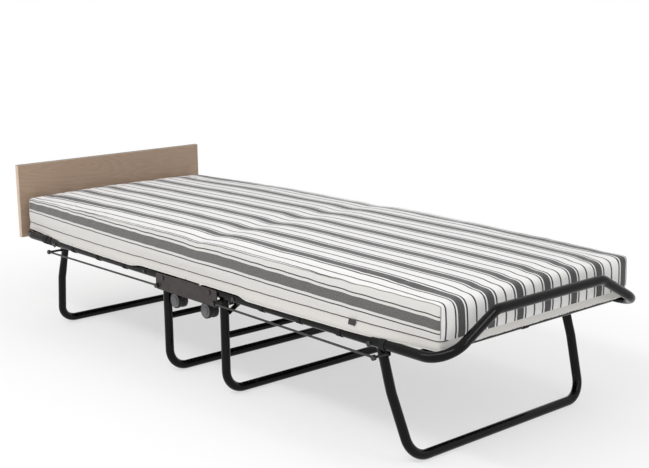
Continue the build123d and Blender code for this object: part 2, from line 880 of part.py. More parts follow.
def leg_brace(side):
    """Straight tube coped between the posts of a centre leg."""
    with BuildPart() as brace:
        with BuildSketch(Plane.XZ):
            with Locations((side * leg_x, brace_z)):
                Circle(brace_r)
                Circle(brace_r - brace_wall, mode=Mode.SUBTRACT)
        extrude(amount=leg_y, both=True)
        with BuildSketch(Plane.XY.offset(brace_z - brace_d)):
            with Locations((side * leg_x, -leg_y), (side * leg_x, leg_y)):
                Circle(tube_r + weld_gap)
        extrude(amount=2 * brace_d, mode=Mode.SUBTRACT)
    return brace


def struts(side):
    """Flat struts from the rail rivets down to the centre leg, with a rivet head at the foot."""
    foot = (side * leg_x, leg_z - strut_drop)
    top = (side * strut_pin_x, rail_z)
    with BuildPart() as bars:
        for hand in HANDS.values():
            with BuildSketch(Plane.XZ.offset(-hand * (strut_inner_y + strut_t / 2))):
                with Locations(foot, top):
                    Circle(strut_w / 2)
                make_hull()
            extrude(amount=strut_t / 2, both=True)
            with BuildSketch(Plane.XZ.offset(-hand * strut_inner_y)):
                with Locations(foot):
                    Circle(strut_head_d / 2)
            extrude(amount=hand * strut_head_h)
        add(cross_holes([top], strut_pin_d + 2 * fit), mode=Mode.SUBTRACT)
    return bars


def build_centre_legs():
    """Both centre legs with their braces and struts."""
    for half, side in HALVES.items():
        save(centre_leg(side), f"{half}_centre_leg")
        save(leg_brace(side), f"{half}_centre_leg_brace")
        save(struts(side), f"{half}_struts")


# Mattress


def mattress_section(half_width, low, high):
    """Cross-section of the mattress in Y and Z: flat under, bellied sides, crowned top."""
    shoulder = high - mattress_crown
    middle = (low + shoulder) / 2
    with BuildSketch(Plane.YZ) as section:
        with BuildLine():
            Line((-half_width + mattress_belly, low), (half_width - mattress_belly, low))
            ThreePointArc(
                (half_width - mattress_belly, low),
                (half_width, middle),
                (half_width - mattress_belly, shoulder),
            )
            ThreePointArc(
                (half_width - mattress_belly, shoulder),
                (0, high),
                (-half_width + mattress_belly, shoulder),
            )
            ThreePointArc(
                (-half_width + mattress_belly, shoulder),
                (-half_width, middle),
                (-half_width + mattress_belly, low),
            )
        make_face()
        fillet(section.vertices(), radius=mattress_edge_r)
    return section.sketch


def mattress_heights():
    """Underside and top: it lies on the tabs round the rails, and folded, the tops almost touch."""
    return bed_z + mattress_lift, rail_z + fold_x - gap


def mattress_half(side, reach):
    """Half mattress, narrower at its round end, cut square at the fold. The head's is the mirror image."""
    low, high = mattress_heights()
    start = fold_x + mattress_fold_gap
    root = start - mattress_over
    middle = (start + reach) / 2
    half_width = mattress_w / 2
    end_half = half_width - mattress_taper
    middle_half = half_width - mattress_taper / 4
    with BuildPart() as half:
        extrude(mattress_section(half_width, low, high), amount=reach + mattress_over)
        with BuildSketch(Plane.XY.offset(low - mattress_over)) as plan:
            with BuildLine():
                Line((root, half_width), (root, -half_width))
                ThreePointArc((root, -half_width), (middle, -middle_half), (reach, -end_half))
                ThreePointArc((reach, -end_half), (reach - mattress_draw, 0), (reach, end_half))
                ThreePointArc((reach, end_half), (middle, middle_half), (root, half_width))
            make_face()
            fillet(plan.vertices().sort_by(Axis.X)[-2:], radius=mattress_corner_r)
        extrude(amount=high - low + 2 * mattress_over, mode=Mode.INTERSECT)
        with BuildSketch(Plane.XZ) as profile:
            with Locations((middle, (low + high) / 2)):
                Rectangle(reach - start, high - low)
            fillet(profile.vertices().sort_by(Axis.X)[-2:], radius=mattress_end_r)
        extrude(amount=mattress_w, both=True, mode=Mode.INTERSECT)
        if side < 0:
            mirror(about=Plane.YZ, mode=Mode.REPLACE)
    return half


def mattress_middle():
    """The stretch of mattress over the centre unit, which folds."""
    low, high = mattress_heights()
    half_length = fold_x + mattress_fold_gap - gap
    section = mattress_section(mattress_w / 2, low, high)
    with BuildPart() as stretch:
        extrude(section, amount=half_length, both=True)
    return stretch


def build_mattress():
    """The mattress in its three stretches."""
    save(mattress_half(-1, frame_reach - mattress_head_inset), "mattress_head")
    save(mattress_half(1, frame_reach - mattress_foot_inset), "mattress_foot")
    save(mattress_middle(), "mattress_middle")


os.makedirs("parts", exist_ok=True)
build_centre_unit()
build_castors()
build_half_frames()
build_headboard()
build_end_legs()
build_centre_legs()
build_mattress()
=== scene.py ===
"""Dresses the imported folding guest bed: coated tube, oak laminate, mesh and striped mattress."""
import json
import math

import bmesh
import bpy
from mathutils import Matrix, Vector, noise


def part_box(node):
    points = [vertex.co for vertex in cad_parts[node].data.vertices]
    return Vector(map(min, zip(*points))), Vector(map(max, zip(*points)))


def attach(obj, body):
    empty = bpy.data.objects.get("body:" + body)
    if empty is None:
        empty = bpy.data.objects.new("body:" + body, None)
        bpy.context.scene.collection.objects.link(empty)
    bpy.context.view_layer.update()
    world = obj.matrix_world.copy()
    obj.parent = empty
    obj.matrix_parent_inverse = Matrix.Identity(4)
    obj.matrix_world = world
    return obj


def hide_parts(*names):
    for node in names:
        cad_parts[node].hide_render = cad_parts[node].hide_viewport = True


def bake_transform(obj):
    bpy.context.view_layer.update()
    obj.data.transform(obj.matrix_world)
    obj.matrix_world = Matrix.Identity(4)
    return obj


HALVES = {"head": -1, "foot": 1}
HANDS = {"near": -1, "far": 1}

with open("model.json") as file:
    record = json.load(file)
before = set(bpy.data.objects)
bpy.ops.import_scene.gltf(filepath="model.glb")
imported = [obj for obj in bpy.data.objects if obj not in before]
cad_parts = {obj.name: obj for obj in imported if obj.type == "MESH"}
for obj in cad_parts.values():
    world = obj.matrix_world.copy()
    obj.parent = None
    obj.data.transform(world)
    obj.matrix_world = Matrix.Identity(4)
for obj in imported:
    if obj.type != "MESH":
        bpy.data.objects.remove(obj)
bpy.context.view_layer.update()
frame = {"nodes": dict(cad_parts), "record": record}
nodes = frame["nodes"]
scene = bpy.context.scene
BOARD_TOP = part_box("headboard_edging")[1][2]


# Shader helpers

# Sockets of the Mix node that carry its factor and its colours.
MIX_FACTOR, MIX_A, MIX_B, MIX_RESULT = 0, 6, 7, 2


def new_material(name):
    """A new material, with its node tree and its Principled shader."""
    material = bpy.data.materials.new(name)
    material.use_nodes = True
    tree = material.node_tree
    return material, tree, tree.nodes["Principled BSDF"]


def add_node(tree, kind, inputs=None, **settings):
    """A node with its settings made and each input either linked or set."""
    node = tree.nodes.new(kind)
    for key, value in settings.items():
        setattr(node, key, value)
    for key, value in (inputs or {}).items():
        if isinstance(value, bpy.types.NodeSocket):
            tree.links.new(value, node.inputs[key])
        else:
            node.inputs[key].default_value = value
    return node


def object_place(tree, scale=(1.0, 1.0, 1.0)):
    """Object coordinates in metres, stretched by scale."""
    place = add_node(tree, "ShaderNodeTexCoord").outputs["Object"]
    return add_node(tree, "ShaderNodeMapping", {"Vector": place, "Scale": scale}).outputs["Vector"]


def axis_of(tree, vector, axis):
    """One component of a vector."""
    return add_node(tree, "ShaderNodeSeparateXYZ", {"Vector": vector}).outputs[axis]


def speckle(tree, place, scale, detail=3.0, rough=0.55):
    """Fractal noise from 0 to 1."""
    return add_node(
        tree,
        "ShaderNodeTexNoise",
        {"Vector": place, "Scale": scale, "Detail": detail, "Roughness": rough},
    ).outputs["Fac"]


def grey(value):
    """A colour with three equal parts."""
    return (value,) * 3


def times(factor, colour):
    """A colour made lighter or darker."""
    return tuple(factor * part for part in colour)


def ramp(tree, fac, stops, interpolation="LINEAR"):
    """A colour ramp with stops of (place, colour)."""
    node = add_node(tree, "ShaderNodeValToRGB", {"Fac": fac})
    node.color_ramp.interpolation = interpolation
    elements = node.color_ramp.elements
    while len(elements) < len(stops):
        elements.new(1.0)
    for element, (where, colour) in zip(elements, stops):
        element.position = where
        element.color = (*colour, 1.0)
    return node.outputs["Color"]


def mixed(tree, fac, a, b):
    """Two colours mixed by fac."""
    node = add_node(tree, "ShaderNodeMix", data_type="RGBA", blend_type="MIX")
    for index, value in ((MIX_FACTOR, fac), (MIX_A, a), (MIX_B, b)):
        socket = node.inputs[index]
        if isinstance(value, bpy.types.NodeSocket):
            tree.links.new(value, socket)
        elif isinstance(value, tuple):
            socket.default_value = (*value, 1.0)
        else:
            socket.default_value = value
    return node.outputs[MIX_RESULT]


def sums(tree, operation, a, b=0.0, c=0.0):
    """One step of arithmetic."""
    return add_node(tree, "ShaderNodeMath", {0: a, 1: b, 2: c}, operation=operation).outputs[0]


def eased(tree, value, low, high, start=0.0, end=1.0):
    """The span from low to high turned into start to end, with even turns."""
    return add_node(
        tree,
        "ShaderNodeMapRange",
        {"Value": value, "From Min": low, "From Max": high, "To Min": start, "To Max": end},
        interpolation_type="SMOOTHSTEP",
    ).outputs["Result"]


def wire(tree, output, shader, socket):
    """Links an output to one of the shader's sockets."""
    tree.links.new(output, shader.inputs[socket])


def bump(tree, shader, height, strength, distance):
    """Fine relief of the surface, distance in metres."""
    relief = add_node(
        tree, "ShaderNodeBump", {"Height": height, "Strength": strength, "Distance": distance}
    )
    wire(tree, relief.outputs["Normal"], shader, "Normal")


def set_inputs(shader, **values):
    """Constants on the shader's own sockets. An underscore in a name stands for a space."""
    for name, value in values.items():
        shader.inputs[name.replace("_", " ")].default_value = value


# Finishes of the frame

def coated_steel(name, colour, worn, roughness, gloss):
    """Powder coat: a faint orange peel, slight mottling of the colour and duller patches."""
    material, tree, shader = new_material(name)
    place = object_place(tree)
    cloud = speckle(tree, place, 14.0, 4.0)
    wire(tree, mixed(tree, cloud, colour, worn), shader, "Base Color")
    dull = ramp(tree, speckle(tree, place, 38.0, 5.0), [
        (0.35, grey(roughness)),
        (0.75, grey(roughness * 1.6)),
    ])
    wire(tree, dull, shader, "Roughness")
    set_inputs(shader, Specular_IOR_Level=gloss)
    bump(tree, shader, speckle(tree, place, 900.0, 2.0), 0.12, 0.0002)
    return material


def bare_steel(name, colour, bright, roughness):
    """Drawn or blackened steel with fine streaks."""
    material, tree, shader = new_material(name)
    streak = speckle(tree, object_place(tree, (1.0, 8.0, 8.0)), 60.0, 6.0, 0.7)
    wire(tree, mixed(tree, streak, colour, bright), shader, "Base Color")
    dull = ramp(tree, streak, [(0.2, grey(roughness)), (0.8, grey(roughness * 1.5))])
    wire(tree, dull, shader, "Roughness")
    set_inputs(shader, Metallic=0.85)
    bump(tree, shader, streak, 0.15, 0.0003)
    return material


def moulded(name, colour, scuffed, roughness):
    """Moulded plastic or rubber: a fine spark texture and scuffs."""
    material, tree, shader = new_material(name)
    place = object_place(tree)
    marks = speckle(tree, place, 90.0, 6.0, 0.7)
    scuff = ramp(tree, marks, [(0.45, grey(0.0)), (0.8, grey(1.0))])
    wire(tree, mixed(tree, scuff, colour, scuffed), shader, "Base Color")
    dull = ramp(tree, scuff, [(0.0, grey(roughness)), (1.0, grey(min(1.0, roughness * 1.3)))])
    wire(tree, dull, shader, "Roughness")
    bump(tree, shader, speckle(tree, place, 1600.0, 2.0), 0.2, 0.0002)
    return material


def oak_laminate(name):
    """Grey-brown oak print: long grain along the board, darker pores and a few wide arches."""
    material, tree, shader = new_material(name)
    drift = speckle(tree, object_place(tree, (1.0, 0.4, 1.0)), 6.0, 3.0)
    rings = speckle(tree, object_place(tree, (1.0, 0.13, 0.9)), 11.0, 2.0, 0.4)
    arches = sums(tree, "FRACT", sums(tree, "MULTIPLY", rings, 26.0))
    fibres = speckle(tree, object_place(tree, (1.0, 0.035, 1.0)), 380.0, 4.0, 0.65)
    pores = speckle(tree, object_place(tree, (1.0, 0.06, 1.0)), 800.0, 2.0, 0.6)
    base = ramp(tree, arches, [
        (0.0, (0.330, 0.231, 0.163)),
        (0.55, (0.391, 0.278, 0.201)),
        (0.85, (0.406, 0.290, 0.210)),
        (1.0, (0.330, 0.231, 0.163)),
    ])
    streaked = mixed(tree, 0.4, base, ramp(tree, fibres, [
        (0.3, (0.314, 0.218, 0.154)),
        (0.7, (0.443, 0.320, 0.234)),
    ]))
    cloudy = mixed(tree, sums(tree, "MULTIPLY", drift, 0.3), streaked, (0.412, 0.297, 0.216))
    pore_share = sums(
        tree, "MULTIPLY", ramp(tree, pores, [(0.30, grey(1.0)), (0.38, grey(0.0))]), 0.35
    )
    wire(tree, mixed(tree, pore_share, cloudy, (0.228, 0.153, 0.107)), shader, "Base Color")
    dull = ramp(tree, fibres, [(0.2, grey(0.44)), (0.8, grey(0.56))])
    wire(tree, dull, shader, "Roughness")
    bump(tree, shader, fibres, 0.12, 0.0003)
    return material


def edge_banding(name):
    """The lighter strip glued round the board's edge, with a greyer length along the top."""
    material, tree, shader = new_material(name)
    fibres = speckle(tree, object_place(tree, (1.0, 0.05, 0.05)), 700.0, 3.0)
    strip = ramp(tree, fibres, [(0.25, (0.62, 0.47, 0.35)), (0.75, (0.72, 0.57, 0.44))])
    height = axis_of(tree, object_place(tree), "Z")
    on_top = sums(tree, "GREATER_THAN", height, BOARD_TOP - 0.0004)
    wire(tree, mixed(tree, on_top, strip, (0.20, 0.18, 0.155)), shader, "Base Color")
    set_inputs(shader, Roughness=0.5)
    bump(tree, shader, fibres, 0.08, 0.0002)
    return material


def thread_wave(tree, place, axis, pitch):
    """A sine across the threads, one turn for each pitch."""
    turns = sums(tree, "MULTIPLY", axis_of(tree, place, axis), 2.0 * math.pi / pitch)
    return sums(tree, "SINE", turns)


def weave_height(tree, place, pitch):
    """Over-and-under threads of a plain weave, from 0 to 1, in X and Y of place."""
    across = thread_wave(tree, place, "X", pitch)
    along = thread_wave(tree, place, "Y", pitch)
    return sums(tree, "MULTIPLY_ADD", sums(tree, "MULTIPLY", across, along), 0.5, 0.5)


def webbing(name, colour):
    """Woven tape, slightly fuzzy."""
    material, tree, shader = new_material(name)
    place = object_place(tree)
    fuzz = speckle(tree, place, 500.0, 3.0)
    wire(tree, mixed(tree, fuzz, colour, times(1.8, colour)), shader, "Base Color")
    set_inputs(shader, Roughness=0.85, Sheen_Weight=0.05, Specular_IOR_Level=0.2)
    bump(tree, shader, weave_height(tree, place, 0.003), 0.6, 0.0006)
    return material


MESH_PITCH = 0.0026
THREAD_FROM = 0.66


def open_mesh(name):
    """Black woven mesh that light passes through: threads with open holes between them."""
    material, tree, shader = new_material(name)
    place = object_place(tree)
    threads = [
        sums(tree, "GREATER_THAN", thread_wave(tree, place, axis, MESH_PITCH), THREAD_FROM)
        for axis in ("X", "Y")
    ]
    wire(tree, sums(tree, "MAXIMUM", threads[0], threads[1]), shader, "Alpha")
    fuzz = speckle(tree, place, 300.0, 3.0)
    wire(tree, mixed(tree, fuzz, (0.02, 0.02, 0.022), (0.05, 0.05, 0.053)), shader, "Base Color")
    set_inputs(shader, Roughness=0.7)
    bump(tree, shader, weave_height(tree, place, MESH_PITCH), 0.5, 0.0005)
    return material


# The ticking

def heather(tree, place, dark, light):
    """Dark band of mixed yarns: short flecks along and across it."""
    flecks = speckle(tree, place, 260.0, 5.0, 0.75)
    between = tuple((a + b) / 2 for a, b in zip(dark, light))
    return ramp(tree, flecks, [(0.34, dark), (0.52, between), (0.68, light)])


def striped_ticking(name, stops, period, first, cream, band_dark, band_light, line):
    """Woven stripes across V of the cover's map, in metres.

    A stop is (distance, "cream", "band" or "line"), counted from first and repeated each period.
    """
    material, tree, shader = new_material(name)
    place = add_node(tree, "ShaderNodeUVMap", uv_map="cover").outputs["UV"]
    past_first = sums(tree, "SUBTRACT", axis_of(tree, place, "Y"), first)
    share = sums(tree, "FRACT", sums(tree, "DIVIDE", past_first, period))
    colours = {"cream": (0.0, 0.0, 0.0), "band": (1.0, 0.0, 0.0), "line": (0.0, 1.0, 0.0)}
    marks = ramp(tree, share, [(at / period, colours[kind]) for at, kind in stops], "CONSTANT")
    parts = add_node(tree, "ShaderNodeSeparateColor", {"Color": marks}).outputs
    yarn = speckle(tree, place, 130.0, 4.0, 0.6)
    ground = mixed(tree, sums(tree, "MULTIPLY", yarn, 0.5), cream, times(0.86, cream))
    flecked = heather(tree, place, band_dark, band_light)
    dressed = mixed(tree, parts["Red"], ground, flecked)
    wire(tree, mixed(tree, parts["Green"], dressed, line), shader, "Base Color")
    set_inputs(
        shader, Roughness=0.82, Sheen_Weight=0.4, Sheen_Roughness=0.45, Specular_IOR_Level=0.25
    )
    twill = weave_height(tree, place, 0.0016)
    relief = sums(tree, "MULTIPLY_ADD", parts["Red"], -0.35, twill)
    bump(tree, shader, sums(tree, "MULTIPLY_ADD", yarn, 0.8, relief), 0.35, 0.0005)
    return material


def plain_ticking(name, colour, roughness=0.85):
    """Plain woven cotton for the border, the zip stitching, the piping and the tag, and for the
    grey cord on the top seam, whose colour is a painted shadow line.
    """
    material, tree, shader = new_material(name)
    place = object_place(tree)
    yarn = speckle(tree, place, 240.0, 4.0, 0.6)
    wire(tree, mixed(tree, yarn, colour, times(0.84, colour)), shader, "Base Color")
    set_inputs(shader, Roughness=roughness, Sheen_Weight=0.2)
    bump(tree, shader, speckle(tree, place, 900.0, 3.0), 0.3, 0.0004)
    return material


# Stripes of the top and the ends, across the bed from the near band.
STRIPE_PERIOD = 0.1030
NEAR_BAND = -0.2865
COVER = [
    (0.0, "band"),
    (0.0120, "cream"),
    (0.0166, "line"),
    (0.0220, "cream"),
    (0.0488, "line"),
    (0.0542, "cream"),
    (0.0810, "line"),
    (0.0864, "cream"),
    (0.0910, "band"),
]
# Stripes of the sides, upwards. They don't repeat within the mattress's height.
SIDE_PERIOD = 0.2
SIDE_FIRST = -0.05
SIDE = [
    (0.0, "cream"),
    (0.0268, "line"),
    (0.0304, "cream"),
    (0.0370, "band"),
    (0.0630, "cream"),
    (0.0696, "line"),
    (0.0732, "cream"),
]

ticking = striped_ticking(
    "striped ticking", COVER, STRIPE_PERIOD, NEAR_BAND, (0.86, 0.85, 0.845),
    (0.036, 0.035, 0.036), (0.098, 0.096, 0.097), (0.030, 0.029, 0.029),
)
side_ticking = striped_ticking(
    "side panel ticking", SIDE, SIDE_PERIOD, SIDE_FIRST, (0.72, 0.705, 0.68),
    (0.075, 0.073, 0.071), (0.19, 0.186, 0.182), (0.036, 0.034, 0.032),
)
border_ticking = plain_ticking("plain cream border", (0.70, 0.68, 0.645))
piping_cotton = plain_ticking("cream piping", (0.76, 0.745, 0.715))
# The top seam's cord: its grey is a painted shadow line along the seam, on a thin cord that stands
# for the seam's slight ridge.
painted_seam_shadow = plain_ticking("grey seam", (0.30, 0.29, 0.275))
thread_dark = plain_ticking("dark stitching", (0.05, 0.048, 0.046))
tag_cloth = plain_ticking("plain black tag", (0.012, 0.012, 0.013), 0.6)
COVER_CLOTHS = [ticking, side_ticking, border_ticking]

SLOT_FINISH = {
    "black_tube": coated_steel(
        "gloss black powder coat", (0.002, 0.0019, 0.002), (0.0036, 0.0034, 0.0034), 0.09, 0.15
    ),
    "brown_plate": coated_steel(
        "satin brown powder coat", (0.037, 0.029, 0.028), (0.048, 0.038, 0.037), 0.38, 0.25
    ),
    "zinc": bare_steel("blackened bolt steel", (0.035, 0.035, 0.037), (0.09, 0.09, 0.093), 0.34),
    "rod_steel": bare_steel("dark drawn rod", (0.035, 0.034, 0.034), (0.08, 0.078, 0.076), 0.3),
    "spacer_plastic": moulded("black nylon spacer", grey(0.022), grey(0.05), 0.5),
    "castor_grey": moulded("grey castor disc", (0.105, 0.105, 0.112), (0.17, 0.17, 0.178), 0.42),
    "castor_black": moulded("black castor hood", (0.016, 0.016, 0.017), (0.04, 0.04, 0.042), 0.4),
    "castor_tyre": moulded("castor tyre rubber", grey(0.012), (0.035, 0.034, 0.033), 0.62),
    "laminate": oak_laminate("grey oak laminate"),
    "edge_band": edge_banding("light edge banding"),
    "mesh": open_mesh("black open mesh"),
    "webbing": webbing("black webbing", (0.007, 0.007, 0.0075)),
    "ticking": ticking,
}
for part in frame["record"]["subparts"]:
    mesh = nodes[part["node"]].data
    mesh.materials.clear()
    mesh.materials.append(SLOT_FINISH[part["material_slot"]])


# Mattress, in metres and in the frame's own coordinates

HEAD_END = -0.9772
FOOT_END = 0.9542
HALF_WIDTH = 0.3815
TAPER = 0.025
TAPER_START = 0.107
UNDERSIDE = 0.3105
THICKNESS = 0.118
FULL_HEIGHT_AT = 0.15
END_ROUND = 0.030
PLAN_ROUND = 0.016
TOP_EDGE_ROUND = {"head": 0.018, "foot": 0.009}
LOW_EDGE_ROUND = {"head": 0.026, "foot": 0.012}
LENGTH_CUTS = 165
WIDTH_CUTS = 63
ROWS = 9
ZIP_ROW = 2
MARKS = ("top_rim", "low_rim", "corner", "zip_row")
ON_PLANE = 1e-5

# The settled foam. A reach is how far from its edge, end or corner a form fades out.
CROWN = 0.0065
WAVE = 0.0030
FOLD_DIP = 0.0045
CORNER_FOLDS, CORNER_REACH = 0.0035, 0.22
RIM_REACH = 0.07
SEAM_REACH = 0.012
BELLY = 0.0025
LEAN_IN = 0.0050
LIP_SHARE, LOW_SHARE, CROWN_FROM = 0.12, 0.30, 0.35
RAIL_SPAN = ((0.23, 0.29), (0.74, 0.90))

CLOTH_FRAMES = 16
CLOTH_CAP = 0.0045
CLOTH_SINK = 0.0008
CLOTH_WIDER = 0.0010


def smooth_step(low, high, value):
    """0 below low, 1 above high, and an even turn between."""
    share = max(0.0, min(1.0, (value - low) / (high - low)))
    return share * share * (3.0 - 2.0 * share)


def nearness(distance, reach):
    """1 at no distance, falling evenly to 0 at reach."""
    return max(0.0, 1.0 - distance / reach)


def rounded_corner(a, b, limit_a, limit_b, radius):
    """Moves a point of a square corner onto a quarter circle. a and b are from the middle."""
    u = (abs(a) - (limit_a - radius)) / radius
    v = (abs(b) - (limit_b - radius)) / radius
    if u <= 0.0 or v <= 0.0:
        return a, b
    reach = max(u, v) / math.hypot(u, v)
    return (
        math.copysign(limit_a - radius + radius * u * reach, a),
        math.copysign(limit_b - radius + radius * v * reach, b),
    )


def edges_along(shape, axis):
    """Edges of a bmesh box that run along one axis."""
    found = []
    for edge in shape.edges:
        run = edge.verts[1].co - edge.verts[0].co
        if abs(run[axis]) > 0.9 * run.length:
            found.append(edge)
    return found


def half_width(x):
    """Half the mattress's width at x: it narrows towards its ends."""
    share = max(0.0, abs(x) - TAPER_START) / (FOOT_END - TAPER_START)
    return HALF_WIDTH - TAPER * share * share


def thickness(x):
    """Height of the sides at x: full a little past the fold, less at the ends."""
    fall, reach = (0.010, 0.80) if x > FULL_HEIGHT_AT else (0.011, 1.12)
    return THICKNESS - fall * ((x - FULL_HEIGHT_AT) / reach) ** 2


def band_height(x):
    """How far above the underside the side panel's band runs: it dips towards the foot."""
    return 0.0815 - 0.008 * x - 0.008 * max(0.0, x) ** 2


def top_map(at):
    """Place on the cover's cloth, whose stripes run straight while the sides taper in."""
    return (at.x, at.y * half_width(at.x) / HALF_WIDTH)


def end_map(at):
    """Place on the cover where the top cloth turns down over an end."""
    along, across = top_map(at)
    return (along + math.copysign(UNDERSIDE + THICKNESS - at.z, at.x), across)


def side_map(at):
    """Place on the side panel, with the height counted from its band."""
    return (at.x, at.z - UNDERSIDE - band_height(at.x))


def mattress_blank():
    """The whole mattress as one evenly divided block with rounded edges and its cover map."""
    shape = bmesh.new()
    bmesh.ops.create_cube(shape, size=1.0)
    middle = Vector(((HEAD_END + FOOT_END) / 2, 0.0, UNDERSIDE + THICKNESS / 2))
    half = Vector(((FOOT_END - HEAD_END) / 2, HALF_WIDTH, THICKNESS / 2))
    bmesh.ops.scale(shape, vec=2.0 * half, verts=shape.verts)
    for axis, cuts in ((0, LENGTH_CUTS), (1, WIDTH_CUTS), (2, ROWS - 1)):
        edges = edges_along(shape, axis)
        bmesh.ops.subdivide_edges(shape, edges=edges, cuts=cuts, use_grid_fill=True)
    cover = shape.loops.layers.uv.new("cover")
    zip_z = UNDERSIDE + ZIP_ROW * THICKNESS / ROWS
    for face in shape.faces:
        face.normal_update()
        on_side = abs(face.normal.y) > 0.5
        on_end = abs(face.normal.x) > 0.5
        below = face.calc_center_median().z + middle.z < zip_z
        face.material_index = 2 if below and (on_side or on_end) else 1 if on_side else 0
        face.smooth = True
        place_on = side_map if on_side else end_map if on_end else top_map
        for loop in face.loops:
            loop[cover].uv = place_on(loop.vert.co + middle)
    layers = {name: shape.verts.layers.float.new(name) for name in MARKS}
    for vert in shape.verts:
        at_side = abs(abs(vert.co.y) - half.y) < ON_PLANE
        at_end = abs(abs(vert.co.x) - half.x) < ON_PLANE
        place = {
            "top_rim": at_side and abs(vert.co.z - half.z) < ON_PLANE,
            "low_rim": (at_side or at_end) and abs(vert.co.z + half.z) < ON_PLANE,
            "corner": at_side and at_end,
            "zip_row": (at_side or at_end) and abs(vert.co.z + middle.z - zip_z) < ON_PLANE,
        }
        for name, here in place.items():
            vert[layers[name]] = 1.0 if here else 0.0
    for vert in shape.verts:
        x, y, z = vert.co
        end = "head" if x < 0.0 else "foot"
        inward = smooth_step(0.0, 0.08, half.y - abs(y))
        edge_round = TOP_EDGE_ROUND[end]
        top_round = edge_round + (END_ROUND - edge_round) * inward
        radius = top_round if z > 0.0 else LOW_EDGE_ROUND[end]
        x, z = rounded_corner(x, z, half.x, half.z, radius)
        x, y = rounded_corner(x, y, half.x, half.y, PLAN_ROUND)
        vert.co = Vector((x, y, z)) + middle
    return shape


def soft_form(at, pulls):
    """Where a point of the block lies once the foam has settled.

    It has waves, puckers at the seams, a dip at the fold and a lower edge that swells over the
    rails. pulls says how much the point is on each marked seam, from 0 to 1.
    """
    x, y, z = at
    height = (z - UNDERSIDE) / THICKNESS
    across = y / HALF_WIDTH
    hand = math.copysign(1.0, y)
    from_side = HALF_WIDTH - abs(y)
    wave = noise.noise(Vector((x * 3.2, y * 3.4, 3.1)))
    wave += 0.5 * noise.noise(Vector((x * 8.0, y * 10.0, 7.7)))
    pucker = noise.noise(Vector((x * 26.0, 5.0 * hand, z * 8.0)))
    fine = noise.noise(Vector((x * 62.0, 9.0 * hand, z * 14.0)))

    crown = CROWN * (1.0 - across * across)
    dip = FOLD_DIP * math.exp(-((x - 0.02 + 0.05 * y) / 0.05) ** 2)
    corner = nearness(math.hypot(x - FOOT_END, abs(y) - HALF_WIDTH), CORNER_REACH)
    folds = CORNER_FOLDS * corner * noise.noise(Vector((x * 18.0, y * 30.0, 1.7)))
    rim = nearness(from_side, RIM_REACH) * (0.0016 * pucker + 0.0010 * fine)
    rise = crown - dip + WAVE * wave + folds + rim
    upper = max(0.0, min(1.0, (height - CROWN_FROM) / (1.0 - CROWN_FROM)))

    side_share = nearness(from_side, SEAM_REACH)
    end_share = nearness(min(FOOT_END - x, x - HEAD_END), SEAM_REACH)
    lean = LEAN_IN * height - BELLY * (1.0 - (2.0 * height - 1.0) ** 2)
    lean += 0.0022 * pucker * (0.4 + height * 0.4) - 0.0014 * wave * height
    pinch = 0.0012 * pulls["top_rim"] + 0.0030 * pulls["zip_row"] + 0.0010 * pulls["corner"]
    pinch += (0.0014 + 0.0020 * pulls["zip_row"]) * fine * max(pulls.values())
    rail_start, rail_end = RAIL_SPAN
    over_rail = smooth_step(*rail_start, abs(x)) * (1.0 - smooth_step(*rail_end, abs(x)))
    swell = over_rail * (0.0030 + 0.0070 * nearness(height, LOW_SHARE)) * (1.0 - height)
    lip = nearness(height, LIP_SHARE) * side_share

    out = Vector((x, y * half_width(x) / HALF_WIDTH, 0.0))
    out.z = UNDERSIDE + height * thickness(x) + rise * upper
    out.y -= hand * side_share * (lean + pinch - swell)
    out.z -= lip * (0.0015 + over_rail * (0.0085 + 0.0012 * wave))
    drawn_in = end_share * (0.0030 * pulls["zip_row"] + 0.0014 * pucker + 0.002)
    out.x -= math.copysign(drawn_in, x)
    return out


def evaluated(piece):
    """A mesh of the piece with its modifiers applied."""
    graph = bpy.context.evaluated_depsgraph_get()
    return bpy.data.meshes.new_from_object(piece.evaluated_get(graph))


def cloth_settle(piece, frames):
    """Puffs the cover out from its foam and draws its seams in with a cloth run.

    The underside is held, and no point moves further than CLOTH_CAP.
    """
    vertices = piece.data.vertices
    before = [vert.co.copy() for vert in vertices]
    held = piece.vertex_groups.new(name="held")
    pinched = piece.vertex_groups.new(name="pinched")
    held.add([vert.index for vert in vertices if vert.co.z < UNDERSIDE + 0.002], 1.0, "REPLACE")
    for name in ("top_rim", "zip_row", "corner"):
        marks = piece.data.attributes[name].data
        on_seam = [index for index, mark in enumerate(marks) if mark.value > 0.5]
        pinched.add(on_seam, 1.0, "REPLACE")
    cloth = piece.modifiers.new("settle", "CLOTH")
    kit = cloth.settings
    kit.quality = 4
    kit.mass = 0.35
    kit.tension_stiffness = 25.0
    kit.compression_stiffness = 25.0
    kit.shear_stiffness = 8.0
    kit.bending_stiffness = 0.6
    kit.use_pressure = True
    kit.uniform_pressure_force = 2.0
    kit.vertex_group_mass = held.name
    kit.vertex_group_shrink = pinched.name
    kit.shrink_min = 0.0
    kit.shrink_max = 0.10
    kit.effector_weights.gravity = 0.0
    cloth.point_cache.frame_start = 1
    cloth.point_cache.frame_end = frames
    for step in range(1, frames + 1):
        scene.frame_set(step)
    settled = evaluated(piece)
    after = [vert.co.copy() for vert in settled.vertices]
    piece.modifiers.remove(cloth)
    scene.frame_set(1)
    bpy.data.meshes.remove(settled)
    for vert, old, new in zip(vertices, before, after):
        move = new - old
        if move.length > 1e-7:
            move *= CLOTH_CAP * math.tanh(move.length / CLOTH_CAP) / move.length
        place = old + move
        place.z = max(old.z - CLOTH_SINK, place.z)
        widest = max(HALF_WIDTH, abs(old.y)) + CLOTH_WIDER
        place.y = max(-widest, min(widest, place.y))
        place.x = max(HEAD_END, min(FOOT_END, place.x))
        vert.co = place
    piece.vertex_groups.clear()


